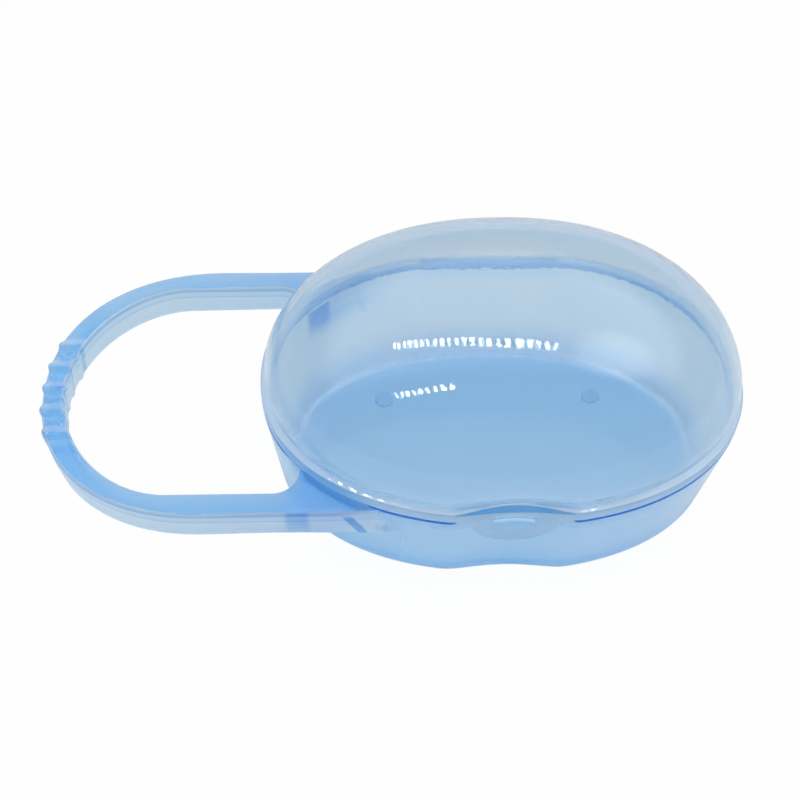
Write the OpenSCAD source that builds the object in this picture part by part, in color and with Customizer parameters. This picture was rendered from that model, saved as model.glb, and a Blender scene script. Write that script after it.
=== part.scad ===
// Pacifier sterilizer case: an oval tray with a loop handle moulded on, and a domed lid
// that swings on a pin at the back and is held shut by a thumb tongue at the front.
// The origin is the middle of the tray's flat underside. +Z is up, the loop handle reaches
// towards -X, the tongue faces -Y and the hinge lies at +Y. Sizes are in millimetres.

/* [Body] */
// Length of the oval body, without the handle
body_l = 102; // [94:1:120]
// Width of the oval body, without the hinge
body_w = 74.8; // [70:0.2:86]
// Squareness of the oval seen from above, where 2 is an ellipse
oval_n = 2.18; // [2:0.02:2.6]

/* [Tray] */
// Height of the tray's rim over the table
tray_h = 27.4; // [24:0.2:34]
// Thickness of the tray's side wall
tray_wall = 1.5; // [1.2:0.1:2]
// Thickness of the tray's floor
floor_t = 1.6; // [1.2:0.1:2.4]
// How far the end walls lean in from the rim to the floor
draft_end = 3; // [1:0.1:5]
// How far the side walls lean in from the rim to the floor
draft_side = 5; // [2:0.1:7]
// Radius of the rounded corner between wall and floor
foot_r = 4; // [3:0.1:6]
// Height of the lip that stands up inside the lid
lip_h = 1.2; // [0.8:0.1:1.6]
// Thickness of that lip
lip_t = 0.8; // [0.6:0.1:1.2]
// Height of the thickened rim under the lip
rim_h = 2; // [1:0.1:3]

/* [Floor pads] */
// Diameter of the four round pads on the floor
pad_d = 4.4; // [3:0.1:6]
// Height of the pads over the floor
pad_h = 0.5; // [0.3:0.1:1]
// Distance between the pads along the body
pad_pitch_l = 49.4; // [36:0.2:56]
// Distance between the pads across the body
pad_pitch_w = 31.4; // [22:0.2:34]

/* [Lid] */
// Height of the dome's top over the seam
lid_h = 30.5; // [24:0.5:38]
// Thickness of the lid's wall
lid_wall = 1.3; // [1:0.1:1.8]
// Fullness of the dome seen from the side, where 2 is an ellipse
dome_n = 2.1; // [2:0.02:2.5]
// Height of the upright band round the lid's edge
band_h = 2.8; // [2.4:0.1:4]
// Width of the ledge between the band and the dome
ledge_w = 1.3; // [0.8:0.1:1.6]
// Height over which the dome swells back out above the ledge
ledge_rise = 5; // [3:0.5:8]
// Open joint between the tray's rim and the lid's band
seam_gap = 0.3; // [0.2:0.05:0.5]
// Gap between the tray's lip and the inside of the band
lip_gap = 0.3; // [0.2:0.05:0.5]

/* [Thumb scoop and latch] */
// Width of the scoop in the front of the tray and the lid
scoop_w = 26; // [22:0.5:32]
// Depth of the scoop at the seam
scoop_d = 3.2; // [2.6:0.1:3.6]
// Depth of the scoop at the floor
scoop_foot_d = 1.6; // [0:0.1:2.4]
// Height over which the scoop fades out in the dome
scoop_fade = 9; // [4:0.5:12]
// Width of the thumb tongue
tongue_w = 18.5; // [14:0.5:20]
// How far the tongue's tip hangs below the seam
tongue_drop = 6.4; // [5:0.1:8]
// How far the middle of the tongue's face lies behind the oval
tongue_sink = 1.6; // [1.2:0.1:1.8]
// Outward lean of the hanging part of the tongue, in degrees
tongue_lean = 5; // [3:0.5:7]
// Gap between the tongue and the tray's wall
tongue_gap = 0.3; // [0.25:0.05:0.5]
// Gap between the tongue's root and the lid's band
root_gap = 0.1; // [0.05:0.01:0.2]
// Width of the tray's catch
catch_w = 8; // [6:0.2:10]
// Height of the catch
catch_h = 1.6; // [1.2:0.1:2]
// How far the catch stands out of the tray's wall
catch_d = 0.4; // [0.3:0.05:0.5]
// Distance from the seam down to the top of the catch
catch_below = 0.2; // [0.1:0.05:0.5]
// Gap at each side of the catch in the tongue's window
window_gap = 0.3; // [0.2:0.05:0.6]
// Height of the tongue's window
window_h = 3.4; // [3:0.1:4]

/* [Hinge] */
// How far the flat hinge pad lies behind the oval's back
pad_sink = 2; // [1.6:0.1:2.6]
// Diameter of the hinge knuckles
knuckle_d = 2.2; // [2:0.1:3]
// Gap between the knuckles and the pad
knuckle_gap = 0.2; // [0.15:0.05:0.4]
// Length of the lid's knuckle
knuckle_l = 24.8; // [18:0.2:26]
// Length of each of the tray's two ears
ear_l = 3.3; // [2:0.1:4]
// Gap between the lid's knuckle and each ear
side_gap = 0.3; // [0.2:0.05:0.5]
// How far the ears' webs run down the wall
ear_drop = 5; // [3:0.1:8]
// Diameter of the hinge pin
pin_d = 1; // [0.8:0.1:1.2]
// Radial gap between the pin and the lid's bore
pin_gap = 0.05; // [0.02:0.01:0.1]
// Radial gap between the pin and the ears' bores
press_gap = 0.01; // [0.005:0.005:0.02]

/* [Handle] */
// How far the loop reaches beyond the end of the body
handle_reach = 46.2; // [36:0.5:60]
// Width of the loop over its two limbs
handle_w = 67; // [58:0.5:68]
// Thickness of the limbs
limb_t = 5.4; // [4:0.1:5.6]
// Thickness of the bar at the far end of the loop
grip_t = 4.5; // [4:0.1:7]
// Height of the bar
bar_h = 8.2; // [7:0.1:9]
// Radius of the bar's long edges
bar_edge_r = 0.9; // [0.6:0.1:1.5]
// Share of its thickness that the bar loses from its top to its underside
bar_draft = 0.18; // [0:0.01:0.25]
// Length of the bend's outer side
bend_l = 36; // [30:0.2:42]
// Length of the bend's inner side
bend_in_l = 24; // [22:0.2:34]
// Squareness of the bend's outer side, where 2 is an ellipse
bend_n = 2.2; // [2:0.02:2.6]
// Squareness of the bend's inner side
bend_in_n = 1.9; // [1.8:0.02:2.4]
// Radius of the fillet between a limb and the body
root_r = 5.4; // [4:0.1:7]
// How far that fillet stands off the body
root_off = 0.2; // [0:0.1:2]
// Number of grip ribs round the far end
rib_n = 5; // [3:2:7]
// Distance between grip ribs
rib_pitch = 6; // [4.5:0.1:6.5]
// Width of a grip rib
rib_w = 2.6; // [1.6:0.1:3.4]
// Height of a grip rib
rib_h = 0.55; // [0.3:0.05:1]
// Share of that height that a rib has on the bar's top and bottom
rib_top = 0.5; // [0.2:0.1:1]
// Share of that height that a rib has on the bar's inner side
rib_in = 0.6; // [0.2:0.1:1]

/* [Hidden] */
tint = [0.50, 0.71, 0.90, 0.6];

half_l = body_l / 2;
half_w = body_w / 2;
// Angles round the oval, in degrees, closer together across the thumb scoop at 270
angles = concat([for (t = [0:5:245]) t], [for (t = [247:2:293]) t], [for (t = [295:5:355]) t]);
pole = 88; // the domes end in a small flat at this angle of their meridian
foot_steps = 3;
dome_steps = 12;
bore_fn = 48;

lip_out = lid_wall + lip_gap;
rim_in = lip_out + lip_t;
rim_fade = rim_h * 2;
ledge_z = tray_h + band_h;
back_y = half_w - pad_sink;
back_slope = 0.35; // how fast the flat back of the lid runs out into the dome
mid_wall = tray_wall / 2;

hinge_y = back_y + knuckle_gap + knuckle_d / 2;
hinge_z = tray_h;
ear_x = knuckle_l / 2 + side_gap;
bite = 0.6; // how deep webs and catch are rooted in the wall that carries them

seam_y = scoop_d - half_w;
tongue_tip_z = tray_h - tongue_drop;
tongue_top_z = ledge_z;
lens_w = scoop_w - 3; // the tongue's root stops just short of the scoop's feathered ends
lens_steps = 24;
catch_top_z = tray_h - catch_below;
window_top_z = catch_top_z + 1.2;

bend_x = -half_l - handle_reach + bend_l;
bend_in_x = -half_l - handle_reach + grip_t + bend_in_l;
limb_in = handle_w / 2 - limb_t;
fillet_x = -oval_x(limb_in - root_r) - root_off - root_r;
bar_z = tray_h - bar_h / 2;

// ---- outlines -------------------------------------------------------------------------

function spow(v, e) = sign(v) * pow(abs(v), e);
function smooth(v) = let (c = min(1, max(0, v))) c * c * (3 - 2 * c);
function mix(a, b, f) = a + (b - a) * f;

// Where the oval's end lies at a distance y from the body's long axis, and its side at x
function oval_x(y) = half_l * pow(1 - pow(y / half_w, oval_n), 1 / oval_n);
function oval_y(x) = half_w * pow(1 - pow(abs(x) / half_l, oval_n), 1 / oval_n);
// Depth of the thumb scoop at x, as a share of its depth in the middle
function scoop(x) = pow(max(0, 1 - pow(2 * x / scoop_w, 2)), 1.5);

// One ring of a shell at height z: an oval with a scoop of depth d in front, flat at the back
function ring(a, b, z, d, back) = [
  for (t = angles)
    let (x = a * spow(cos(t), 2 / oval_n), y = b * spow(sin(t), 2 / oval_n))
      [x, y < 0 ? y + d * scoop(x) : min(y, back), z]
];

// A ring of the tray, inset from the drafted outer wall
function tray_ring(inset, z) =
  let (up = min(1, z / tray_h))
    ring(half_l - draft_end * (1 - up) - inset, half_w - draft_side * (1 - up) - inset, z,
         mix(scoop_foot_d, scoop_d, up), back_y - inset);

// A ring of the lid's upright band
function band_ring(inset, z) = ring(half_l - inset, half_w - inset, z, scoop_d, back_y - inset);

// A ring of the dome at angle a of its meridian, inset by a wall thickness
function dome_ring(inset, a) =
  let (k = spow(cos(a), 2 / dome_n),
       z = tray_h + (lid_h - inset) * spow(sin(a), 2 / dome_n),
       rise = z + inset - ledge_z,
       neck = ledge_w * (1 - smooth(rise / ledge_rise)),
       dip = (scoop_d - ledge_w) * (1 - smooth(rise / scoop_fade)))
    ring((half_l - inset) * k - neck, (half_w - inset) * k - neck, z, dip,
         back_y - ledge_w - inset + back_slope * max(0, rise));

// The angle of the meridian at which a dome inset by a wall starts from the ledge
function dome_foot(inset) = asin(pow((band_h + 0.3 - inset) / (lid_h - inset), dome_n / 2));

// ---- solids through rings -------------------------------------------------------------

// A closed solid through rings of equal count, which run anticlockwise round its path
module loft(rings) {
  n = len(rings[0]);
  last = len(rings) - 1;
  half = floor(n / 2);
  ends = [(rings[0][0] + rings[0][half]) / 2, (rings[last][0] + rings[last][half]) / 2];
  walls = [
    for (i = [0:last - 1], j = [0:n - 1])
      let (a = i * n + j, b = i * n + (j + 1) % n)
        each [[a, b + n, b], [a, a + n, b + n]]
  ];
  foot = [for (j = [0:n - 1]) [(last + 1) * n, j, (j + 1) % n]];
  head = [for (j = [0:n - 1]) [(last + 1) * n + 1, last * n + (j + 1) % n, last * n + j]];
  polyhedron(points = concat([for (r = rings) each r], ends),
             faces = concat(walls, foot, head), convexity = 6);
}

// Rings of a drafted wall with a rounded foot, from the bottom up, inset by a wall
function foot_rings(inset, base) =
  let (r = foot_r - inset)
    [for (i = [0:foot_steps]) let (a = 90 * i / foot_steps)
      tray_ring(inset + r * (1 - sin(a)), base + r * (1 - cos(a)))];

function reverse(list) = [for (i = [len(list) - 1:-1:0]) list[i]];

// ---- tray -----------------------------------------------------------------------------

module tray_shell() {
  loft(concat(
    foot_rings(0, 0),
    [tray_ring(0, tray_h),
     tray_ring(lip_out, tray_h),
     tray_ring(lip_out, tray_h + lip_h),
     tray_ring(rim_in, tray_h + lip_h),
     tray_ring(rim_in, tray_h - rim_h),
     tray_ring(tray_wall, tray_h - rim_fade)],
    reverse(foot_rings(tray_wall, floor_t))));
}

// The space inside the middle of the tray's wall, which trims what is joined on outside
module tray_core() {
  loft(concat(foot_rings(mid_wall, mid_wall), [tray_ring(mid_wall, tray_h + bar_h)]));
}

// Angle of the bend at which its outer side lies y from the long axis
function bend_angle(y) = 180 - sign(y) * asin(pow(abs(y) / (handle_w / 2), bend_n / 2));

// Outer and inner point of the bar at angle t of the bend, from 90 round to 270 degrees
function bend_outer(t) = [bend_x + bend_l * spow(cos(t), 2 / bend_n),
                          handle_w / 2 * spow(sin(t), 2 / bend_n)];
function bend_inner(t) = [bend_in_x + bend_in_l * spow(cos(t), 2 / bend_in_n),
                          limb_in * spow(sin(t), 2 / bend_in_n)];

// Places along the bend as [angle, swelling of a grip rib], from one limb to the other
rib_last = (rib_n - 1) / 2;
rib_outline = [[0.5, 0], [0.25, 0.7], [0, 1], [-0.25, 0.7], [-0.5, 0]];
rib_stops = [
  for (k = [rib_last:-1:-rib_last], o = rib_outline)
    [bend_angle(k * rib_pitch + o[0] * rib_w), rib_h * o[1]]
];
bend_steps = 9;
bend_stops = [for (i = [0:bend_steps - 1]) [mix(90, rib_stops[0][0], i / bend_steps), 0]];
all_stops = concat(bend_stops, rib_stops, [for (s = reverse(bend_stops)) [360 - s[0], 0]]);

// Outer and inner points of one limb where it runs into the body round its fillet
fillet_steps = 5;
root_end = -oval_x(limb_in - root_r) + limb_t;
root_stops = concat(
  [[[fillet_x / 3, handle_w / 2], [root_end, limb_in - 2 * root_r]],
   [[fillet_x * 2 / 3, handle_w / 2], [root_end - 1.5, limb_in - 1.5 * root_r]]],
  [for (i = [0:fillet_steps]) let (a = 90 * i / fillet_steps)
    [[mix(fillet_x * 0.8, fillet_x, i / fillet_steps), handle_w / 2],
     [fillet_x + root_r * cos(a), limb_in - root_r + root_r * sin(a)]]]);

// One section of the bar: a rectangle with round edges and drafted sides, swollen at a rib
corner = [0, 30, 60, 90];
function section(outer, inner, swell, draft) =
  let (w = norm(outer - inner), u = (outer - inner) / w,
       c = (outer + inner) / 2 + u * swell * (1 - rib_in) / 2,
       hw = w / 2 + swell * (1 + rib_in) / 2, hh = bar_h / 2 + swell * rib_top)
    [for (q = [3:-1:0], a = reverse(corner))
      let (s = 90 * q + a, right = q == 0 || q == 3 ? 1 : -1, top = q < 2 ? 1 : -1,
           v = top * (hh - bar_edge_r) + bar_edge_r * sin(s),
           h = (right * (hw - bar_edge_r) + bar_edge_r * cos(s)) * (1 - draft * (1 - v / hh) / 2))
        [c[0] + u[0] * h, c[1] + u[1] * h, bar_z + v]];

// The limbs' sides stand upright in the body and take on the bar's draft along the fillet
last_stop = len(root_stops) - 1;
function root_draft(i) = bar_draft * i / last_stop;

module handle_bar() {
  back = [for (i = [0:last_stop]) section(root_stops[i][0], root_stops[i][1], 0, root_draft(i))];
  bend = [for (s = all_stops) section(bend_outer(s[0]), bend_inner(s[0]), s[1], bar_draft)];
  front = [for (i = [last_stop:-1:0]) let (o = root_stops[i][0], n = root_stops[i][1])
    section([o[0], -o[1]], [n[0], -n[1]], 0, root_draft(i))];
  loft(concat(back, bend, front));
}

module ears() {
  r = knuckle_d / 2;
  for (x = [-ear_x - ear_l, ear_x])
    translate([x, hinge_y, hinge_z])
      rotate([90, 0, 90])
        linear_extrude(ear_l)
          difference() {
            union() {
              circle(r, $fn = bore_fn);
              polygon([[-r - knuckle_gap - bite, 0], [0, 0], [0.6 * r, -0.8 * r],
                       [-r - knuckle_gap - bite, -ear_drop]]);
            }
            circle(pin_d / 2 + press_gap, $fn = bore_fn);
          }
}

// Points along the scooped wall between two steps of the catch, out from it by a depth
catch_steps = 8;
function catch_line(from, to, out, z) = [
  for (i = [from:(to > from ? 1 : -1):to])
    let (x = i * catch_w / 2 / catch_steps)
      [x, scoop_d * scoop(x) - oval_y(x) - out, z]
];

// One level of the catch, from the middle of its front round its root in the wall
function catch_ring(out, z) = concat(
  catch_line(0, catch_steps, out, z),
  catch_line(catch_steps, -catch_steps, -bite, z),
  catch_line(-catch_steps, -1, out, z));

module catch_wedge() {
  low = catch_top_z - catch_h;
  loft([catch_ring(catch_d, low),
        catch_ring(catch_d, low + catch_h * 0.4),
        catch_ring(0.1, catch_top_z)]);
}

module floor_pads() {
  for (x = [-1, 1], y = [-1, 1])
    translate([x * pad_pitch_l / 2, y * pad_pitch_w / 2, floor_t / 2])
      cylinder(d = pad_d, h = floor_t / 2 + pad_h, $fn = bore_fn);
}

module tray() {
  color(tint) {
    tray_shell();
    difference() {
      handle_bar();
      tray_core();
    }
    ears();
    catch_wedge();
    floor_pads();
  }
}

// ---- lid ------------------------------------------------------------------------------

function dome_rings(inset, steps) =
  [for (i = [0:steps]) dome_ring(inset, mix(dome_foot(inset), pole, i / steps))];

module lid_shell() {
  foot_z = tray_h + seam_gap;
  loft(concat(
    reverse(dome_rings(lid_wall, dome_steps - 2)),
    [band_ring(lid_wall, ledge_z - lid_wall),
     band_ring(lid_wall, foot_z),
     band_ring(0, foot_z),
     band_ring(0, ledge_z)],
    dome_rings(0, dome_steps)));
}

module lid_knuckle() {
  r = knuckle_d / 2;
  translate([-knuckle_l / 2, hinge_y, hinge_z])
    rotate([90, 0, 90])
      linear_extrude(knuckle_l)
        difference() {
          union() {
            circle(r, $fn = bore_fn);
            polygon([[-r - knuckle_gap - bite, seam_gap], [-0.5 * r, seam_gap],
                     [0.6 * r, 0.8 * r], [-r - knuckle_gap - bite, band_h - ledge_w]]);
          }
          circle(pin_d / 2 + pin_gap, $fn = bore_fn);
        }
}

module lid() {
  color(tint) {
    lid_shell();
    lid_knuckle();
  }
}

// ---- latch tongue ---------------------------------------------------------------------

// Points across the scoop at a share f of the way out from its wall, kept off it by a gap
function lens(width, f, gap) = [
  for (i = [0:lens_steps])
    let (x = mix(-width / 2, width / 2, i / lens_steps),
         deep = (scoop_d - tongue_sink) * scoop(x))
      [x, scoop_d * scoop(x) - oval_y(x) - mix(min(gap, deep / 2), deep, f)]
];

// Front outline of the hanging part: straight sides that end at the seam in a round arc
tip_r = (pow(tongue_w / 2, 2) + pow(tongue_drop, 2)) / (2 * tongue_drop);
tip_turn = atan2(tongue_w / 2, tip_r - tongue_drop);
tip_steps = 20;
module tongue_front() {
  polygon(concat(
    [[-tongue_w / 2, tongue_top_z], [tongue_w / 2, tongue_top_z]],
    [for (i = [tip_steps:-1:-tip_steps])
      let (a = tip_turn * i / tip_steps)
        [tip_r * sin(a), tongue_tip_z + tip_r * (1 - cos(a))]]));
}

module latch_tongue() {
  color(tint)
    difference() {
      union() {
        translate([0, 0, tray_h])
          linear_extrude(tongue_top_z - tray_h)
            polygon(concat(lens(lens_w, 0, root_gap), reverse(lens(lens_w, 1, 0))));
        intersection() {
          translate([0, seam_y, tray_h])
            rotate([-tongue_lean, 0, 0])
              translate([0, -seam_y, -2 * tongue_drop])
                linear_extrude(2 * tongue_drop)
                  polygon(concat(lens(tongue_w, 0, tongue_gap), reverse(lens(tongue_w, 1, 0))));
          rotate([90, 0, 0])
            linear_extrude(2 * half_w)
              tongue_front();
        }
      }
      translate([-catch_w / 2 - window_gap, -half_w - tongue_drop, window_top_z - window_h])
        cube([catch_w + 2 * window_gap, tongue_drop + scoop_d + bite, window_h]);
    }
}

// ---- hinge pin ------------------------------------------------------------------------

module hinge_pin() {
  color(tint)
    translate([-ear_x - ear_l, hinge_y, hinge_z])
      rotate([0, 90, 0])
        cylinder(d = pin_d, h = 2 * (ear_x + ear_l), $fn = bore_fn);
}

tray();
lid();
latch_tongue();
hinge_pin();
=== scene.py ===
# %% [markdown]
# # A pacifier case in see-through blue plastic
#
# The real object is two thin mouldings in one pale blue polypropylene: an oval tray with a loop
# handle, and a domed lid with a thumb tongue. Almost all of its look comes from light that
# passes through it, so every piece here is a closed solid with its real wall thickness. A single
# sheet with no inside could never darken where the plastic is thick, as the real handle does.
#
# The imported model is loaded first. It fixes every size and place, and nothing is moved in it.

# %% Load the frame
import math

import bmesh
import bpy
from mathutils import Matrix, Vector


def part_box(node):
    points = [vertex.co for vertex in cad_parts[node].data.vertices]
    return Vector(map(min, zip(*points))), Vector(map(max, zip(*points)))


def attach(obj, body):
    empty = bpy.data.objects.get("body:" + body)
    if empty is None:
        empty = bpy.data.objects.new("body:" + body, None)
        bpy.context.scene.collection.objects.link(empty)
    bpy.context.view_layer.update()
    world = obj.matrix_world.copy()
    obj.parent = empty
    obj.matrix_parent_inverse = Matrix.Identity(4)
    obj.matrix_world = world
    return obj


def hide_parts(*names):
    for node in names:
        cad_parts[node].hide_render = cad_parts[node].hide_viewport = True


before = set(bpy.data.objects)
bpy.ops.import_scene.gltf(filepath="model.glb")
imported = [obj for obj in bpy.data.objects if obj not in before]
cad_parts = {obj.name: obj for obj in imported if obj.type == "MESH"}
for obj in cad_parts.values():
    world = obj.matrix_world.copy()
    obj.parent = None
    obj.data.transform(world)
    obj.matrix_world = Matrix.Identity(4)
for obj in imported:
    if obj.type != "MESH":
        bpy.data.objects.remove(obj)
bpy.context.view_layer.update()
print("nodes:", sorted(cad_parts))

# %% [markdown]
# ## The sizes that the pieces share
#
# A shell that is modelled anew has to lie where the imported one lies, so it uses the same few
# driving sizes. They are written in millimetres, as a drawing would give them, and every helper
# below turns its result into metres once. The body's half length is read from the lid's own box.
# The height of the lid's band and the pitch of the grip ribs stand here as well, because the
# materials need them before the shapes do.

# %% Shared sizes, in millimetres
MM = 0.001
half_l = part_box("lid")[1].x / MM
half_w = 37.4
oval_n = 2.18
tray_h = 27.4
lid_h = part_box("lid")[1].z / MM - tray_h
tray_wall = 1.5
lid_wall = 1.3
scoop_w = 26.0
scoop_d = 3.2
flat_back = 2.0
back_y = half_w - flat_back
band_h = 2.8
ledge_z = tray_h + band_h
rib_pitch = 6.0
print(f"half length {half_l:.2f}, dome rises {lid_h:.2f} over the seam")

# %% [markdown]
# ## The camera
#
# The photo was taken from above and in front, from about 28 cm away, so the front of the case
# looks clearly larger than its back. A long lens placed far off would give the same outline of
# the lid but not of the loop. Place, angles and lens were found by fitting the outlines of lid,
# tray and loop together, and the camera's own axes follow from its three angles.

# %% Camera
camera_at = Vector((-27.67, -163.08, 223.35)) * MM
pitch, yaw, roll = (math.radians(v) for v in (51.131, -2.191, 0.797))
lens = 53.64

look = Vector((-math.sin(yaw) * math.cos(pitch), math.cos(yaw) * math.cos(pitch),
               -math.sin(pitch)))
level = Vector((math.cos(yaw), math.sin(yaw), 0))
above = level.cross(look)
right = math.cos(roll) * level + math.sin(roll) * above
up = math.cos(roll) * above - math.sin(roll) * level

camera_data = bpy.data.cameras.new("camera")
camera_data.lens = lens
camera_data.sensor_width = 36
camera_data.clip_start = 0.01
camera = bpy.data.objects.new("camera", camera_data)
bpy.context.scene.collection.objects.link(camera)
turned = Matrix((right, up, -look)).transposed().to_4x4()
camera.matrix_world = Matrix.Translation(camera_at) @ turned
bpy.context.scene.camera = camera
print(f"camera looks down by {math.degrees(pitch):.1f} degrees, {camera_at.length:.3f} m away")

# %% [markdown]
# ## Shader maths as plain expressions
#
# A material that varies over a surface is a small formula: a bit of noise, scaled and added. In
# the node editor that takes a chain of Math nodes. Here a thin class wraps a socket, so that the
# formula can be written the way it is thought. Its one method `node` makes any other node.

# %% Shader maths
class Sock:
    """A socket that takes part in sums and products. Each operation adds one Math node."""

    def __init__(self, tree, socket):
        self.tree = tree
        self.socket = socket

    def node(self, kind, settings=(), out=0, **inputs):
        """Adds a node: its settings first, then the value or link of each named socket."""
        made = self.tree.nodes.new(kind)
        for name, value in dict(settings).items():
            setattr(made, name, value)
        for name, value in inputs.items():
            key = int(name[1:]) if name[0] == "_" else name.replace("_", " ")
            put(self.tree, made.inputs[key], value)
        return Sock(self.tree, made.outputs[out])

    def maths(self, operation, a, b):
        return self.node("ShaderNodeMath", {"operation": operation}, _0=a, _1=b)

    def __add__(self, other):
        return self.maths("ADD", self, other)

    def __mul__(self, other):
        return self.maths("MULTIPLY", self, other)

    def __sub__(self, other):
        return self.maths("SUBTRACT", self, other)

    def __rsub__(self, other):
        return self.maths("SUBTRACT", other, self)

    __radd__ = __add__
    __rmul__ = __mul__


def put(tree, socket, value):
    """Links a wrapped socket, or sets a plain value."""
    if isinstance(value, Sock):
        tree.links.new(value.socket, socket)
    else:
        socket.default_value = value


# %% [markdown]
# ## Blend, step and band
#
# Nearly every rule about a look is one of three: a blend of two values, a step up, or a band
# between two values. A hard step would be shorter to write, but the eye finds a hard border on
# smooth plastic at once, so all of them are soft. Plain numbers can be blended by the same `mix`.

# %% Blend, step and band
def mix(a, b, share):
    return a + (b - a) * share


def ramp(value, start, end):
    """A soft step from 0 to 1 between two values, start may be the larger one."""
    return value.node("ShaderNodeMapRange", {"interpolation_type": "SMOOTHSTEP"},
                      Value=value, From_Min=start, From_Max=end, To_Min=0.0, To_Max=1.0)


def between(value, low, high, soft):
    """1 between two values and 0 outside them, with soft borders."""
    return ramp(value, low - soft, low) * ramp(value, high + soft, high)


def absolute(value):
    return value.maths("ABSOLUTE", value, 0.0)


def mix_colour(a, b, share):
    return share.node("ShaderNodeMix", {"data_type": "RGBA"}, out=2, Factor=share, _6=a, _7=b)


def mix_shader(a, b, share):
    return b.node("ShaderNodeMixShader", _0=share, _1=a, _2=b)


# %% [markdown]
# ## Starting and ending a material
#
# Every material starts from an empty node tree and ends in one output node, and most of them
# need to know where a point lies or what kind of ray has come to it.

# %% Material helpers
def new_material(name):
    """A material with nothing in its node tree, and that tree."""
    material = bpy.data.materials.new(name)
    material.use_nodes = True
    material.node_tree.nodes.clear()
    return material, material.node_tree


def end_material(tree, **shaders):
    """Links each shader to the output's socket of the same name."""
    output = tree.nodes.new("ShaderNodeOutputMaterial")
    for name, shader in shaders.items():
        put(tree, output.inputs[name], shader)


def object_place(tree):
    return Sock(tree, tree.nodes.new("ShaderNodeTexCoord").outputs["Object"])


def part_of(vector, axis):
    return vector.node("ShaderNodeSeparateXYZ", Vector=vector, out=axis)


def ray_is(tree, kind):
    """1 for one kind of ray, such as "Is Camera Ray", and 0 for every other kind."""
    return Sock(tree, tree.nodes.new("ShaderNodeLightPath").outputs[kind])


# %% [markdown]
# ## The floor
#
# The photo is a product shot on pure white, with next to no shadow left in it. More lamps would
# make a floor as white, but they would burn out the pale plastic as well. So the camera's own
# rays see the floor as almost pure white, and every other ray meets plain matt paint, which is
# what the plastic shows through its walls. The paint is a little darker behind the case, where
# less of the real light fell.

# %% Floor
floor_half = 6.0
floor_drop = 0.0001
white_seen = 0.95
paint_near = (0.82, 0.80, 0.80, 1)
paint_behind = (0.70, 0.69, 0.71, 1)
behind_from, behind_to = 0.03, 0.1


def staged(name, bm, material):
    """Puts a finished bmesh into the scene on its own, tied to none of the object's bodies."""
    mesh = bpy.data.meshes.new(name)
    bm.to_mesh(mesh)
    bm.free()
    material.cycles.emission_sampling = "NONE"
    mesh.materials.append(material)
    made = bpy.data.objects.new(name, mesh)
    bpy.context.scene.collection.objects.link(made)
    print(f"{name}: staged, reaches {max(v.co.length for v in mesh.vertices):.2f} m out")


def floor_paint():
    material, tree = new_material("floor_white")
    behind = ramp(part_of(object_place(tree), 1), behind_from, behind_to)
    paint = behind.node("ShaderNodeBsdfDiffuse", Color=mix_colour(paint_near, paint_behind, behind))
    glow = behind.node("ShaderNodeEmission", Color=(1, 1, 1, 1), Strength=1.0)
    end_material(tree, Surface=mix_shader(paint, glow, ray_is(tree, "Is Camera Ray") * white_seen))
    return material


def make_floor():
    bm = bmesh.new()
    bmesh.ops.create_grid(bm, x_segments=1, y_segments=1, size=floor_half)
    bmesh.ops.translate(bm, verts=bm.verts, vec=(0, 0, -floor_drop))
    staged("floor", bm, floor_paint())


make_floor()

# %% [markdown]
# ## Two rows of small lamps
#
# The dome carries two lines of short bright ticks. They are mirror images of rows of small lamps
# over the table, so each row is a real strip a metre up, with bright and dark stretches along
# it. Painting the ticks on the lid would be easier, but they would then stay put when the lid
# opens. Only mirrored rays see the strips, so they add no light to the rest.

# %% Lamp rows
def lamp_glow(name, pitch, brightness):
    """Lamps at a pitch along a strip. The emission's strength rises and falls with a sine."""
    material, tree = new_material(name)
    turns = part_of(object_place(tree), 0) * (math.tau / pitch)
    lit = ramp(turns.maths("SINE", turns, 0.0), 0.0, 0.6)
    strength = lit * ray_is(tree, "Is Glossy Ray") * brightness
    glow = lit.node("ShaderNodeEmission", Color=(1, 1, 1, 1), Strength=strength)
    end_material(tree, Surface=glow)
    return material


def make_lamp_row(name, start, end, width, pitch, brightness):
    start, end = Vector(start), Vector(end)
    along = end - start
    bm = bmesh.new()
    bmesh.ops.create_grid(bm, x_segments=1, y_segments=1, size=0.5)
    bmesh.ops.scale(bm, verts=bm.verts, vec=(along.length, width, 1))
    turn = Matrix.Rotation(math.atan2(along.y, along.x), 3, "Z")
    bmesh.ops.rotate(bm, verts=bm.verts, matrix=turn)
    bmesh.ops.translate(bm, verts=bm.verts, vec=(start + end) / 2)
    staged(name, bm, lamp_glow(name, pitch, brightness))


make_lamp_row("lamp_row_rear", (-0.55, 0.20, 1.0), (0.28, 0.06, 1.0), 0.08, 0.038, 26.0)
make_lamp_row("lamp_row_front", (-0.66, -0.467, 1.0), (-0.20, -0.37, 1.0), 0.07, 0.055, 34.0)

# %% [markdown]
# ## The room
#
# Light from all sides suits see-through plastic, because every path through a wall then ends in
# light. The room is white and a little dim. A broad panel over the back half lights the case
# from above, and its mirror image gives the dome its sheen. A soft lamp high on the right leaves
# one brighter patch there.

# %% Room
room_light = 0.58
panel_light = 1.66
lamp_light = 1.6
lamp_toward = (0.58, 0.05, 0.81)


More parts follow.
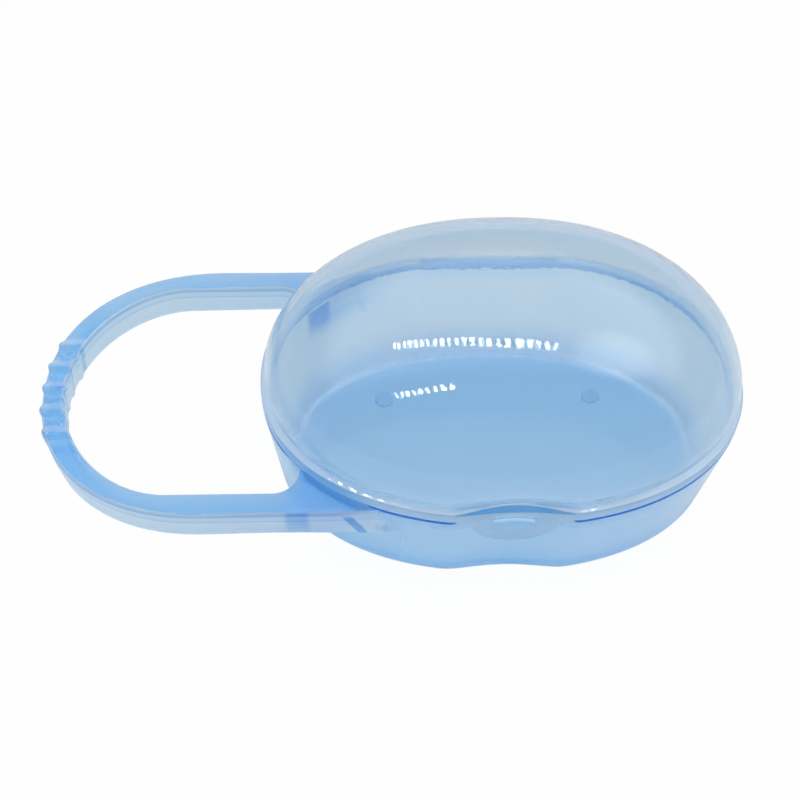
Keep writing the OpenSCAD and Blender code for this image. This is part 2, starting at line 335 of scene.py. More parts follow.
def make_room():
    world = bpy.data.worlds.new("white_room")
    world.use_nodes = True
    tree = world.node_tree
    toward = Sock(tree, tree.nodes.new("ShaderNodeTexCoord").outputs["Generated"])
    panel = ramp(part_of(toward, 1), -0.25, 0.0) * ramp(part_of(toward, 2), 0.35, 0.6)
    aim = toward.node("ShaderNodeVectorMath", {"operation": "DOT_PRODUCT"}, out=1,
                      _0=toward, _1=lamp_toward)
    strength = mix(room_light, panel_light, panel) + ramp(aim, 0.95, 0.995) * lamp_light
    background = tree.nodes["Background"]
    background.inputs["Color"].default_value = (1, 1, 1, 1)
    put(tree, background.inputs["Strength"], strength)
    return world


bpy.context.scene.world = make_room()
bpy.context.scene.view_settings.view_transform = "Standard"
print(f"room {room_light}, panel {panel_light}, lamp {lamp_light} on top of them")

# %% [markdown]
# ## Where a spot lies
#
# The cloudiness and the depth of the blue change from place to place, and the changes in the
# blue are painted light and shade. All rules about them read the same few facts about a spot of
# the surface: its place, how upright the surface stands there, and how far out it lies in the
# oval body. Beyond the body's outline begins the handle's bar.

# %% Spot
def body_share(x, y):
    """How far out a place lies in the oval body: 0 in the middle and 1 on its outline."""
    ratios = (absolute(x) * (1 / half_l), absolute(y) * (1 / half_w))
    along, across = (r.maths("POWER", r, oval_n) for r in ratios)
    return along + across


class Spot:
    """Where a point of the surface lies, in millimetres, and how upright the surface is there."""

    def __init__(self, tree):
        place = tree.nodes.new("ShaderNodeTexCoord")
        self.at = Sock(tree, place.outputs["Object"])
        self.x, self.y, self.z = (part_of(self.at, i) * (1 / MM) for i in range(3))
        tilt = part_of(Sock(tree, place.outputs["Normal"]), 2)
        self.upright = 1 - tilt * tilt
        self.out = body_share(self.x, self.y)
        self.bar = ramp(self.out, 0.98, 1.04)
        self.rear = ramp(self.y, -10.0, 10.0)


def everywhere(amount):
    """A rule that gives every spot the same amount."""
    def rule(spot):
        held = spot.at.node("ShaderNodeValue")
        held.socket.default_value = amount
        return held
    return rule


nowhere = everywhere(0.0)

# %% [markdown]
# ## One plastic, in a few thicknesses
#
# Polypropylene is clear but a little milky, and its blue is a dye in the whole wall. So the blue
# is absorption inside the closed solids: the thin lid stays pale, and the thick handle turns
# deep blue, though the rules further down also paint shade and light into the cloudy share's
# colour. The surface blends two shaders, a clear one that bends light and a cloudy one that
# throws some of it back and lets some through. Pale blue paint alone would be far simpler, but
# nothing behind a wall would ever show.
#
# Light that has already been scattered would need many tries to find a way out through two bent
# walls, and the inside of the case would turn grey. So such rays, and the ones that cast
# shadows, go straight on with a faint tint, and with a stronger blue close to the floor.

# %% The plastic
dye = (0.0, 0.60, 0.98, 1)
skin = (0.91, 0.935, 0.95, 1)
milk = (0.90, 0.90, 0.88, 1)
# deep is the blue of random cloudiness and of the painted shade from the blueness rules.
deep = (0.05, 0.46, 0.86, 1)
# The next two colours and the last two hazes are for painted light and shade marks.
painted_mark_blue = (0.12, 0.40, 0.76, 1)
painted_seam_blue = (0.04, 0.20, 0.68, 1)
pass_on = (0.98, 0.99, 0.99, 1)
soak = (0.72, 0.88, 0.97, 1)
painted_mark_haze = 0.75
painted_seam_haze = 0.95
let_through = 0.6


def plastic(name, haze, glow, seam, blueness, roughness, coat, density):
    """Dyed polypropylene. Each look is a rule that says how much of it a spot has."""
    material, tree = new_material(name)
    spot = Spot(tree)
    node = spot.at.node
    cloud = node("ShaderNodeTexNoise", Vector=spot.at, Scale=90.0, Detail=2.0)
    grain = node("ShaderNodeTexNoise", Vector=spot.at, Scale=900.0, Detail=1.0)
    bump = node("ShaderNodeBump", Strength=0.02, Distance=0.0004, Height=grain)
    gloss = {"IOR": 1.49, "Roughness": cloud * 0.03 + roughness(spot), "Normal": bump,
             "Coat_Weight": coat(spot), "Coat_Roughness": 0.04}
    # glow gives painted light and shade in a deep blue, and seam gives a painted shade line at the
    # seam.
    edge, seam_shade = glow(spot), seam(spot)

    colour = mix_colour(milk, deep, cloud * 0.1 + blueness(spot))
    colour = mix_colour(mix_colour(colour, painted_mark_blue, edge), painted_seam_blue, seam_shade)
    clear = node("ShaderNodeBsdfPrincipled", Base_Color=skin, Transmission_Weight=1.0, **gloss)
    front = node("ShaderNodeBsdfPrincipled", Base_Color=colour, **gloss)
    back = node("ShaderNodeBsdfTranslucent", Color=colour, Normal=bump)
    cloudy = mix_shader(front, back, let_through)
    share = mix(mix(haze(spot), painted_mark_haze, edge), painted_seam_haze, seam_shade)
    seen = mix_shader(clear, cloudy, share)

    tints = [node("ShaderNodeBsdfTransparent", Color=tint) for tint in (pass_on, soak)]
    straight = mix_shader(*tints, ramp(spot.z, 4.0, 2.5))
    for kind in ("Is Diffuse Ray", "Is Shadow Ray"):
        seen = mix_shader(seen, straight, ray_is(tree, kind))
    inside = node("ShaderNodeVolumeAbsorption", Color=dye, Density=density)
    end_material(tree, Surface=seen, Volume=inside)
    print(f"{name}: {len(tree.nodes)} nodes")
    return material


# %% [markdown]
# ## The look of the seam and the lid
#
# The dome is the thinnest wall and the clearest. Its band is cloudier, and the narrow ledge on
# top of the band is the cloudiest and glossiest, so it draws a light line round the dome. The
# blue arch behind the thumb tongue is painted shade in the scoop, and the dark blue line at the
# seam is painted shade in the gap, which fades where the handle's root lies under it. The band
# itself is painted a little bluer as shade.

# %% Seam and lid rules
def painted_seam_line(spot):
    # Painted shade: a deep blue line where lid and tray meet, fading over the handle's root.
    ring = ramp(spot.out, 0.975, 0.983) * ramp(spot.out, 1.005, 1.001)
    over_root = between(spot.x, -44.0, -30.0, 2.0) * ramp(spot.y, 0.0, -10.0)
    return ring * between(spot.z, tray_h - 0.35, tray_h + 0.3, 0.1) * (1 - over_root * 0.9)


def up_to_ledge(spot):
    return ramp(spot.z, ledge_z + 0.8, ledge_z + 0.4)


def lid_haze(spot):
    dome = spot.upright * 0.2 + 0.03
    ledge = ramp(spot.z, ledge_z - 0.3, ledge_z - 0.1)
    band = mix(0.5, 0.22, ledge) + ledge * (1 - spot.upright) * 0.6
    return mix(dome, band, up_to_ledge(spot))


def lid_painted_arch(spot):
    # Painted shade: a deep blue arch in the scoop behind the thumb tongue.
    painted_arch = ramp(absolute(spot.x), 13.5, 10.0) * ramp(spot.y, -29.0, -31.0)
    return painted_arch * ramp(spot.z, 33.0, 31.0) * ramp(spot.z, ledge_z + 0.1, ledge_z + 0.3) * 0.5


def lid_painted_shade(spot):
    """The band is painted bluer as shade, most at the back and beside the handle's root in front.
    """
    painted_shade_near_root = ramp(spot.x, -26.0, -36.0) * ramp(spot.y, -10.0, -20.0)
    band = ramp(spot.z, ledge_z - 0.1, ledge_z - 0.3)
    return band * (painted_shade_near_root * 0.4 + ramp(spot.y, 8.0, 20.0) * 0.4 + 0.25)


def lid_coat(spot):
    return up_to_ledge(spot) * (1 - spot.upright)


# %% [markdown]
# ## The look of the handle
#
# The bar's top face is painted the deepest blue as shade, with a painted highlight as a pale line
# at its edge, and a painted highlight and a painted shade on the two sides of each rib. Two fine
# lines of painted shade run along the limbs, and the upper half of each limb's side is painted a
# little bluer. At the roots, painted light stands where light would gather in the corners that
# the limbs make with the body: as a post where each limb meets the end wall, and as a slanting
# mark nearer the front. A dark wedge along the lid is painted shade.

# %% Handle rules
def rib_wave(spot, shift):
    """Peaks of 1 beside each grip rib, at a distance along the bar, and 0 off the grip."""
    turns = (spot.y + shift) * (math.tau / rib_pitch)
    peaks = ramp(turns.maths("COSINE", turns, 0.0), 0.5, 0.95)
    return peaks * between(spot.y, -14.5, 14.5, 1.0) * ramp(spot.x, -84.0, -86.0)


def painted_limb_lines(spot):
    # Painted shade: a line under each limb's top edge and a fainter line lower down.
    lines = between(spot.z, 26.35, 26.8, 0.25) * 0.5 + between(spot.z, 24.5, 24.7, 0.15) * 0.35
    return lines * spot.bar * spot.upright * ramp(spot.x, -30.0, -36.0)


def root_painted_marks(spot):
    # Painted light in the roots' corners, as a post and a slanting mark, and a painted shade wedge
    # along the lid.
    side = absolute(spot.y)
    painted_slant = between(spot.x + spot.z * 0.49, -20.8, -19.4, 0.6) * between(spot.z, 20.0, 25.0, 1.6)
    painted_post = between(spot.x - spot.y * 0.062, -42.3, -39.1, 1.3)
    painted_post = painted_post * ramp(spot.z, 17.5, 24.5) * ramp(spot.z, 27.4, 27.2) * (spot.rear * 0.5 + 0.5)
    painted_wedge = between(spot.x, -44.0, -31.0, 3.0) * between(spot.out, 1.0, 1.05, 0.03)
    painted_wedge = painted_wedge * ramp(spot.z, 27.2, 27.35) * 0.6
    return painted_slant * ramp(side, 28.0, 30.0) * 0.85 + painted_post * ramp(side, 18.0, 20.0) + painted_wedge


def bar_painted_shade_and_highlights(spot):
    # Painted shade on the top face and upper sides. The pale edge line and the spot beside each rib
    # are painted highlights.
    grip = ramp(spot.x, -84.0, -90.0) * 0.15
    off_painted_edge_highlight = 1 - between(spot.z, 27.1, 27.3, 0.06)
    less_blue_at_rib_highlight = 1 - rib_wave(spot, -0.6) * 0.6
    top = (1 - spot.upright) * (grip + 0.8) * off_painted_edge_highlight * less_blue_at_rib_highlight
    return top + ramp(spot.z, 24.5, 24.7) * spot.upright * 0.15


# %% [markdown]
# ## The look of the tray
#
# Upright walls look cloudier than the floor, because a look along them passes more plastic, and
# the rear wall shows it most. The wall is painted bluer towards the foot, and the front walls
# bluer still, as painted shade. The lip under the lid and the rims of the floor pads are edges
# again, and painted light makes them glow, and the round corner between wall and floor is
# polished enough to carry a highlight.

# %% Tray rules
def tray_haze(spot):
    thin = spot.upright * (spot.rear * 0.44 + 0.26) + 0.05
    thick = spot.upright * 0.42 + 0.4
    return mix(thin, thick, spot.bar)


def tray_painted_marks(spot):
    # Painted light at the lip and the pad rims, the roots' painted marks, the limbs' painted lines,
    # and painted shade on one side of each rib.
    painted_lip_light = ramp(spot.z, tray_h + 0.5, tray_h + 0.7) * ramp(spot.out, 1.01, 1.0)
    pads = between(spot.z, 1.75, 2.2, 0.1) * ramp(spot.out, 0.7, 0.6)
    return painted_lip_light + pads * 0.5 + root_painted_marks(spot) + painted_limb_lines(spot) + rib_wave(spot, 1.5) * 0.5


def tray_painted_shade_and_highlights(spot):
    # Painted shade towards the foot and on the front walls, plus the bar's painted shade and
    # highlights.
    front = ramp(spot.y, 0.0, -15.0) * spot.upright * (1 - spot.bar) * 0.25
    return ramp(spot.z, 12.0, 0.0) * 0.45 + front + spot.bar * bar_painted_shade_and_highlights(spot)


def tray_roughness(spot):
    return spot.bar * 0.12 + 0.1


def tray_coat(spot):
    corner = ramp(spot.z, 1.6, 1.65) * ramp(spot.z, 4.6, 4.0)
    return spot.bar * 0.5 + corner * 0.5 + 0.2


# %% [markdown]
# ## The four materials
#
# All pieces are the same plastic, so they differ only in their rules. The density of the dye is
# nearly the same too. The small pieces have a little more, because they are seen edge on.

# %% Materials
def latch_painted_shade(spot):
    # Painted shade: the top of the tongue's root, just under the ledge, is deep blue like the arch.
    return ramp(spot.z, ledge_z - 0.4, ledge_z - 0.15)


lid_plastic = plastic(
    "lid_plastic", haze=lid_haze, glow=lid_painted_arch, seam=painted_seam_line, blueness=lid_painted_shade,
    roughness=everywhere(0.02), coat=lid_coat, density=108.0)
tray_plastic = plastic(
    "tray_plastic", haze=tray_haze, glow=tray_painted_marks, seam=painted_seam_line, blueness=tray_painted_shade_and_highlights,
    roughness=tray_roughness, coat=tray_coat, density=106.0)
latch_plastic = plastic(
    "latch_plastic", haze=everywhere(0.4), glow=latch_painted_shade, seam=nowhere,
    blueness=everywhere(0.3), roughness=everywhere(0.12), coat=everywhere(0.5), density=118.0)
pin_plastic = plastic(
    "pin_plastic", haze=everywhere(0.4), glow=nowhere, seam=nowhere, blueness=nowhere,
    roughness=everywhere(0.1), coat=nowhere, density=118.0)

# %% [markdown]
# ## Outlines that every piece shares
#
# Seen from above the body is a superellipse, a little squarer than an ellipse. Its front is
# scooped in for the thumb and its back runs flat past the hinge. Each ring of a shell is that
# outline at one height, so the whole body is one function of an angle and a few lengths.

# %% Outlines
def spow(value, exponent):
    return math.copysign(abs(value) ** exponent, value)


def smooth(value):
    held = min(1.0, max(0.0, value))
    return held * held * (3 - 2 * held)


def scoop(x):
    return max(0.0, 1 - (2 * x / scoop_w) ** 2) ** 1.5


def soft_min(a, b, width=0.5):
    """The smaller of two lengths, with the corner between them rounded over a width."""
    return (a + b - math.sqrt((a - b) ** 2 + width * width)) / 2


def oval(a, b, z, dip, back):
    """One ring: a function from an angle to a place, for half axes a and b at height z."""
    def place(turn):
        x = a * spow(math.cos(turn), 2 / oval_n)
        y = b * spow(math.sin(turn), 2 / oval_n)
        y = y + dip * scoop(x) if y < 0 else soft_min(y, back)
        return Vector((x, y, z)) * MM
    return place


def oval_y(x):
    return half_w * (1 - (abs(x) / half_l) ** oval_n) ** (1 / oval_n)


def oval_x(y):
    return half_l * (1 - (abs(y) / half_w) ** oval_n) ** (1 / oval_n)


print(f"half width at x = 30: {oval_y(30):.2f}, half length at y = 30: {oval_x(30):.2f}")

# %% [markdown]
# ## Raising a shell ring by ring
#
# A shell like this could be a sphere pushed into shape, or a sheet with a Solidify modifier. The
# first loses the sharp rim, and the second can't make a ledge or a lip. So a circle is drawn
# once, and its edges are extruded again and again: up the outside, over the rim and down the
# inside. Each point keeps its angle in a layer, so every new ring can be laid on its outline.

# %% Raising a shell
segments = 256


def new_verts(made):
    return [g for g in made["geom"] if isinstance(g, bmesh.types.BMVert)]


def inner_edges(edges, verts):
    held = set(verts)
    return [e for e in edges if e.verts[0] in held and e.verts[1] in held]


def raised(places, count=segments):
    """A bmesh through rings: each place is a function from an angle to a point in metres."""
    bm = bmesh.new()
    turn = bm.verts.layers.float.new("turn")
    verts = bmesh.ops.create_circle(bm, segments=count, radius=1)["verts"]
    for v in verts:
        v[turn] = math.atan2(v.co.y, v.co.x)
    edges = list(bm.edges)
    ends = [verts]
    for i, place in enumerate(places):
        if i:
            made = bmesh.ops.extrude_edge_only(bm, edges=edges)
            verts = new_verts(made)
            grown = [g for g in made["geom"] if isinstance(g, bmesh.types.BMEdge)]
            edges = inner_edges(grown, verts)
        for v in verts:
            v.co = place(v[turn])
    ends.append(verts)
    for ring in ends:
        middle = sum((v.co for v in ring), Vector()) / len(ring)
        tips = new_verts(bmesh.ops.extrude_edge_only(bm, edges=inner_edges(bm.edges, ring)))
        bmesh.ops.pointmerge(bm, verts=tips, merge_co=middle)
    bmesh.ops.recalc_face_normals(bm, faces=bm.faces)
    return bm


# %% [markdown]
# ## From a bmesh to a shown piece
#
# A moulded surface is smooth except at its real corners. Faces are shaded smooth, and an edge
# stays a crease only where its two faces meet at more than 40 degrees. The sections that are
# raised into shells are paths of corner points, and their corners are softened by small arcs.

# %% Pieces and softened paths
crease = math.radians(40)


def mark_corners(bm):
    for face in bm.faces:
        face.smooth = True
    for edge in bm.edges:
        edge.smooth = len(edge.link_faces) == 2 and edge.calc_face_angle(0) < crease


def piece(name, bm, material):
    """Makes a shown object from a bmesh."""
    bm.normal_update()
    mark_corners(bm)
    mesh = bpy.data.meshes.new(name)
    bm.to_mesh(mesh)
    bm.free()
    mesh.materials.append(material)
    made = bpy.data.objects.new(name, mesh)
    bpy.context.scene.collection.objects.link(made)
    print(f"{name}: {len(mesh.polygons)} faces")
    return made


def rounded(path, radius, steps=4):
    """A path of corner points with each inner corner replaced by a small soft arc."""
    out = [path[0]]
    for before, here, after in zip(path, path[1:], path[2:]):
        a, b, c = Vector(before), Vector(here), Vector(after)
        reach = min(radius, (a - b).length / 2, (c - b).length / 2)
        start, end = b + (a - b).normalized() * reach, b + (c - b).normalized() * reach
        for i in range(steps + 1):
            t = i / steps
            out.append(tuple(start * (1 - t) ** 2 + b * 2 * t * (1 - t) + end * t * t))
    return out + [path[-1]]


# %% [markdown]
# ## The lid
#
# The lid is a dome on an upright band, with a narrow ledge between them that catches a bright
# line of light. The dome is a superellipse both ways. Near the ledge it is pinched in, and at
# the front it dips behind the thumb tongue. Its inside is the same shape, one wall smaller.

# %% Lid
ledge_w = 1.3
ledge_rise = 5.0
scoop_fade = 9.0
seam_gap = 0.3
dome_n = 2.1
dome_steps = 44
dome_start = 0.3
dome_end = math.radians(89)
back_slope = 0.35
lid_edge_r = 0.35


def dome_ring(inset, angle):
    k = math.cos(angle) ** (2 / dome_n)
    z = tray_h + (lid_h - inset) * math.sin(angle) ** (2 / dome_n)
    rise = z + inset - ledge_z
    neck = ledge_w * (1 - smooth(rise / ledge_rise))
    dip = (scoop_d - ledge_w) * (1 - smooth(rise / scoop_fade))
    back = back_y - ledge_w - inset + back_slope * max(0, rise)
    return oval((half_l - inset) * k - neck, (half_w - inset) * k - neck, z, dip, back)


def dome_rings(inset):
    foot = math.asin(((band_h + dome_start - inset) / (lid_h - inset)) ** (dome_n / 2))
    shares = [(i / dome_steps) ** 0.9 for i in range(dome_steps + 1)]
    return [dome_ring(inset, mix(foot, dome_end, share)) for share in shares]


def band_ring(inset, z):
    return oval(half_l - inset, half_w - inset, z, scoop_d, back_y - inset)


def lid_shell():
    foot_z = tray_h + seam_gap
    step_in = ledge_w + 0.2
    band = rounded([(lid_wall + step_in, ledge_z + 0.3 - lid_wall), (lid_wall, ledge_z - lid_wall),
                    (lid_wall, foot_z), (0, foot_z), (0, ledge_z), (step_in, ledge_z + 0.2)],
                   lid_edge_r)
    inside = dome_rings(lid_wall)[::-1]
    return raised(inside + [band_ring(i, z) for i, z in band[1:-1]] + dome_rings(0))


lid = piece("lid_shell", lid_shell(), lid_plastic)

# %% [markdown]
# ## The tray
#
# The tray is drafted, so that it leaves its mould: the walls lean in towards the floor and turn
# into it with a round corner. At the top a thin lip stands up inside the lid. The path below is
# the wall's own section, from under the floor, up, over the rim and down again.

# %% Tray shell
draft_end = 3.0
draft_side = 5.0
foot_r = 4.0
floor_t = 1.6
lip_out = lid_wall + 0.3
lip_t = 0.8
lip_h = 1.2
rim_h = 2.0
rim_edge_r = 0.25
scoop_foot_d = 1.6


def tray_ring(inset, z):
    rise = min(1.0, z / tray_h)
    return oval(half_l - draft_end * (1 - rise) - inset, half_w - draft_side * (1 - rise) - inset,
                z, mix(scoop_foot_d, scoop_d, rise), back_y - inset)


def foot_path(inset, base, steps=8):
    r = foot_r - inset
    turns = [math.pi / 2 * i / steps for i in range(steps + 1)]
    return [(inset + r * (1 - math.sin(t)), base + r * (1 - math.cos(t))) for t in turns]


def tray_shell():
    rim_in = lip_out + lip_t
    rim = rounded([(0, tray_h - 1), (0, tray_h), (lip_out, tray_h), (lip_out, tray_h + lip_h),
                   (rim_in, tray_h + lip_h), (rim_in, tray_h - rim_h),
                   (tray_wall, tray_h - 2 * rim_h), (tray_wall, tray_h - 2 * rim_h - 2)],
                  rim_edge_r)
    path = foot_path(0, 0) + rim + foot_path(tray_wall, floor_t)[::-1]
    flat = [(foot_r + 8, 0), (foot_r + 2, 0)]
    floor = [(foot_r + 2, floor_t), (foot_r + 8, floor_t)]
    return raised([tray_ring(i, z) for i, z in flat + path + floor])


tray = piece("tray_shell", tray_shell(), tray_plastic)

# %% [markdown]
# ## The loop handle
#
# The handle is a solid bar moulded on to the tray, so it is by far the thickest plastic and the
# deepest blue. Its section runs between an outer and an inner line and has soft edges. It grows
# narrower towards its underside, so that it leaves the mould, and half way up a small step marks
# where the two halves of the mould met. Five grip ribs swell out of it at the far end. A curve
# with a bevel would be quicker, but it can't change its section along the way. So the
# ring-by-ring helper serves again, with the section as the ring.

# %% Loop handle
handle_reach = 46.2
handle_w = 67.0
limb_t = 5.4
grip_t = 4.5
bar_h = 8.2
bar_edge_r = 0.9
bend_l = 36.0
bend_in_l = 24.0
bend_n = 2.2
bend_in_n = 1.9
root_r = 5.4
root_off = 0.2
root_steps = 12
bend_steps = 150
rib_w = 2.8
rib_h = 0.55
rib_top = 0.5
rib_in = 0.6
bar_draft = 0.18
parting_step = 0.2

bend_x = -half_l - handle_reach + bend_l
bend_in_x = -half_l - handle_reach + grip_t + bend_in_l
limb_in = handle_w / 2 - limb_t
fillet_x = -oval_x(limb_in - root_r) - root_off - root_r
bar_z = tray_h - bar_h / 2


def bend_point(t, middle, length, width, n):
    """A point of the bend at angle t, from 90 degrees on one limb round to 270."""
    return Vector((middle + length * spow(math.cos(t), 2 / n), width * spow(math.sin(t), 2 / n)))


def rib_swell(y):
    """How far the bar swells at a distance y from the middle of the grip."""
    nearest = max(-2, min(2, round(y / rib_pitch)))  # five ribs
    off = abs(y - nearest * rib_pitch) / (rib_w / 2)
    return rib_h * smooth(1.15 * (1 - off)) if off < 1 else 0.0


def round_corner(turn, half_t, half_h, r):
    """A point of a rectangle with round corners: each quarter turn is a flat, an arc and a flat."""
    quarter, part = divmod(turn / (math.pi / 2) % 4, 1)
    arc = math.pi / 2 * min(1, max(0, (part - 0.25) / 0.5))
    first_flat, last_flat = 1 - min(1, part / 0.25), max(0, (part - 0.75) / 0.25)
    a, b = (half_h, half_t) if quarter % 2 else (half_t, half_h)
    across = (b - r + r * math.sin(arc)) * (1 - first_flat)
    along = (a - r + r * math.cos(arc)) * (1 - last_flat)
    return ((along, across), (-across, along), (-along, -across), (across, -along))[int(quarter)]


def section(outer, inner, swell, draft):
    """One section of the bar as a ring, from an angle to a place."""
    width = (outer - inner).length
    out = (outer - inner) / width
    centre = (outer + inner) / 2 + out * swell * (1 - rib_in) / 2
    half_t, half_h = width / 2 + swell * (1 + rib_in) / 2, bar_h / 2 + swell * rib_top

    def place(turn):
        h, v = round_corner(turn, half_t, half_h, bar_edge_r)
        h = h * (1 - draft * (1 - v / half_h) / 2) - math.copysign(parting_step, h) * (v < 0)
        spot = centre + out * h
        return Vector((spot.x, spot.y, bar_z + v)) * MM
    return place


def limb_sections(sign):
    """Sections of one limb: two inside the tray's wall, then the turn round the root's fillet."""
    root_end = -oval_x(limb_in - root_r) + limb_t
    stops = [(fillet_x / 3, root_end, limb_in - 2 * root_r, 0),
             (fillet_x * 2 / 3, root_end - 1.5, limb_in - 1.5 * root_r, 1 / 7)]
    for i in range(root_steps + 1):
        share = i / root_steps
        a = math.pi / 2 * share
        stops.append((mix(fillet_x * 0.8, fillet_x, share), fillet_x + root_r * math.cos(a),
                      limb_in - root_r + root_r * math.sin(a), (2 + 5 * share) / 7))
    return [section(Vector((outer_x, sign * handle_w / 2)), Vector((inner_x, sign * inner_y)), 0,
                    bar_draft * draft_share)
            for outer_x, inner_x, inner_y, draft_share in stops]


def bend_sections():
    out = []
    for i in range(bend_steps + 1):
        y = handle_w / 2 * math.cos(math.pi * i / bend_steps)
        off = math.asin(min(1, abs(y) / (handle_w / 2)) ** (bend_n / 2))
        t = math.pi - math.copysign(off, y)
        outer = bend_point(t, bend_x, bend_l, handle_w / 2, bend_n)
        inner = bend_point(t, bend_in_x, bend_in_l, limb_in, bend_in_n)
        out.append(section(outer, inner, rib_swell(y), bar_draft))
    return out


def handle_bar():
    return raised(limb_sections(1) + bend_sections() + limb_sections(-1)[::-1], count=64)


handle = piece("handle_bar", handle_bar(), tray_plastic)

# %% [markdown]
# ## One moulding out of tray and handle
#
# Tray and handle are one piece of plastic. If two closed shapes only overlapped, light would
# meet hidden walls inside the joint and show them as dark outlines. So the bar is first trimmed
# to the middle of the tray's wall. Later, when the tray's other parts are ready as well, all of
# them are united with a Boolean.

# %% Unite the mouldings
welded = 2e-6


def add_boolean(target, tool, operation):
    modifier = target.modifiers.new(operation.lower(), "BOOLEAN")
    modifier.object = tool
    modifier.operation = operation
    modifier.solver = "MANIFOLD"


def settle(target, tools):
    """Applies the modifiers, drops the tools and marks the real corners again."""
    depsgraph = bpy.context.evaluated_depsgraph_get()
    mesh = bpy.data.meshes.new_from_object(target.evaluated_get(depsgraph))
    target.modifiers.clear()
    bm = bmesh.new()
    bm.from_mesh(mesh)
    bmesh.ops.remove_doubles(bm, verts=bm.verts, dist=welded)
    bmesh.ops.dissolve_degenerate(bm, edges=bm.edges, dist=welded)
    mark_corners(bm)
    bm.to_mesh(mesh)
    bm.free()
    target.data = mesh
    for tool in tools:
        bpy.data.objects.remove(tool)
    print(f"{target.name} settled: {len(mesh.polygons)} faces")


def tray_core():
    path = foot_path(tray_wall / 2, tray_wall / 2) + [(tray_wall / 2, tray_h + bar_h)]
    return raised([tray_ring(i, z) for i, z in path])


core = piece("tray_core", tray_core(), tray_plastic)
add_boolean(handle, core, "DIFFERENCE")
settle(handle, [core])

# %% [markdown]
# ## Small solids: prisms and rods
#
# The hinge ears, the catch and the tongue are all a flat outline with a thickness. The helper
# takes a circle with as many points as the outline has, lays its points on the outline, and
# extrudes the one face. Its edges are then bevelled a little, because no moulded edge is
# perfectly sharp, and only a rounded edge catches the thin line of light seen in the photo. The
# pin, its bores and the floor pads are rods, which a cone operator with equal radii makes.

# %% Prisms and rods
def soften(bm, edges, width, steps):
    bmesh.ops.bevel(bm, geom=edges, offset=width * MM, segments=steps, affect="EDGES", profile=0.5,
                    material=-1)


def sharper_than(bm, degrees):
    return [e for e in bm.edges if e.calc_face_angle(0) > math.radians(degrees)]


def prism(outline, lift, start, end, bevel=0.0):
    """A solid between two levels. lift(a, b, level) turns an outline point into a place."""
    bm = bmesh.new()
    verts = bmesh.ops.create_circle(bm, segments=len(outline), radius=1, cap_ends=True)["verts"]
    for v, (a, b) in zip(verts, outline):
        v.co = lift(a, b, start) * MM
    made = bmesh.ops.extrude_face_region(bm, geom=list(bm.faces))
    for v, (a, b) in zip(new_verts(made), outline):
        v.co = lift(a, b, end) * MM
    bmesh.ops.recalc_face_normals(bm, faces=bm.faces)
    if bevel:
        soften(bm, sharper_than(bm, 35), bevel, 2)
    return bm


def rod(radius, length, at=Matrix()):
    bm = bmesh.new()
    bmesh.ops.create_cone(bm, cap_ends=True, segments=48, radius1=radius * MM, radius2=radius * MM,
                          depth=length * MM, matrix=at)
    return bm


def along_x(y, z, x):
    return Vector((x, y, z))


def along_y(x, z, y):
    return Vector((x, y, z))


def along_z(x, y, z):
    return Vector((x, y, z))


# %% [markdown]
# ## Hinge: two ears and a knuckle
#
# The back of the body is flat for a stretch, and the hinge stands on that pad: one long knuckle
# on the lid, between two ears on the tray, with a thin pin through all three. Each profile is a
# round eye that runs into a web, drawn as one outline. The bores are real holes, a little wider
# in the knuckle, which turns, than in the ears, which grip the pin.

# %% Hinge
pin_d = 1.0
knuckle_r = 1.1
knuckle_l = 24.8
knuckle_gap = 0.2
ear_x = knuckle_l / 2 + 0.3
ear_l = 3.3
ear_drop = 5.0
bite = 0.6
ear_edge = 0.12
knuckle_edge = 0.15
ear_play = 0.01
knuckle_play = 0.05
hinge_y = back_y + knuckle_gap + knuckle_r
hinge_l = 2 * (ear_x + ear_l)
root_y = -knuckle_r - knuckle_gap - bite
hinge_axis = (Matrix.Translation(Vector((0, hinge_y, tray_h)) * MM)
              @ Matrix.Rotation(math.pi / 2, 4, "Y"))


def eye(start, end, steps=24):
    """Arc of the knuckle's outline about the pin, between two angles in degrees."""
    turns = [math.radians(mix(start, end, i / steps)) for i in range(steps + 1)]
    return [(knuckle_r * math.cos(t), knuckle_r * math.sin(t)) for t in turns]


def about_pin(outline):
    return [(hinge_y + y, tray_h + z) for y, z in outline]


def bore(target, play):
    tool = piece("bore", rod(pin_d / 2 + play, hinge_l + 2, hinge_axis), tray_plastic)
    add_boolean(target, tool, "DIFFERENCE")
    settle(target, [tool])


def make_ear(side):
    outline = eye(-53, 180) + [(root_y, 0), (root_y, -ear_drop)]
    x = side * (ear_x + ear_l / 2)
    solid = prism(about_pin(outline), along_x, x - ear_l / 2, x + ear_l / 2, ear_edge)
    ear = piece("ear", solid, tray_plastic)
    bore(ear, ear_play)
    return ear


def make_knuckle():
    outline = eye(-190, 53) + [(root_y, band_h - ledge_w), (root_y, seam_gap)]
    solid = prism(about_pin(outline), along_x, -knuckle_l / 2, knuckle_l / 2, knuckle_edge)
    knuckle = piece("knuckle", solid, lid_plastic)
    bore(knuckle, knuckle_play)
    return knuckle


ears = [make_ear(side) for side in (-1, 1)]
knuckle = make_knuckle()

# %% [markdown]
# ## Catch and floor pads
#
# A small wedge stands out of the tray's wall and fills the window of the tongue when the case is
# shut. Its root follows the scooped wall, so it is cut in many narrow steps along its width. Four
# low round pads stand on the floor. With these, all parts of the tray's moulding are made, and
# they are united with it in one go, and the knuckle with the lid.

# %% Catch and pads
catch_w = 8.0
catch_h = 1.6
catch_d = 0.4
catch_top_z = tray_h - 0.2
seam_y = scoop_d - half_w
catch_steps = 24
pad_r = 2.2
pad_h = 0.5
pad_edge = 0.2
pad_x = 24.7
pad_y = 15.7


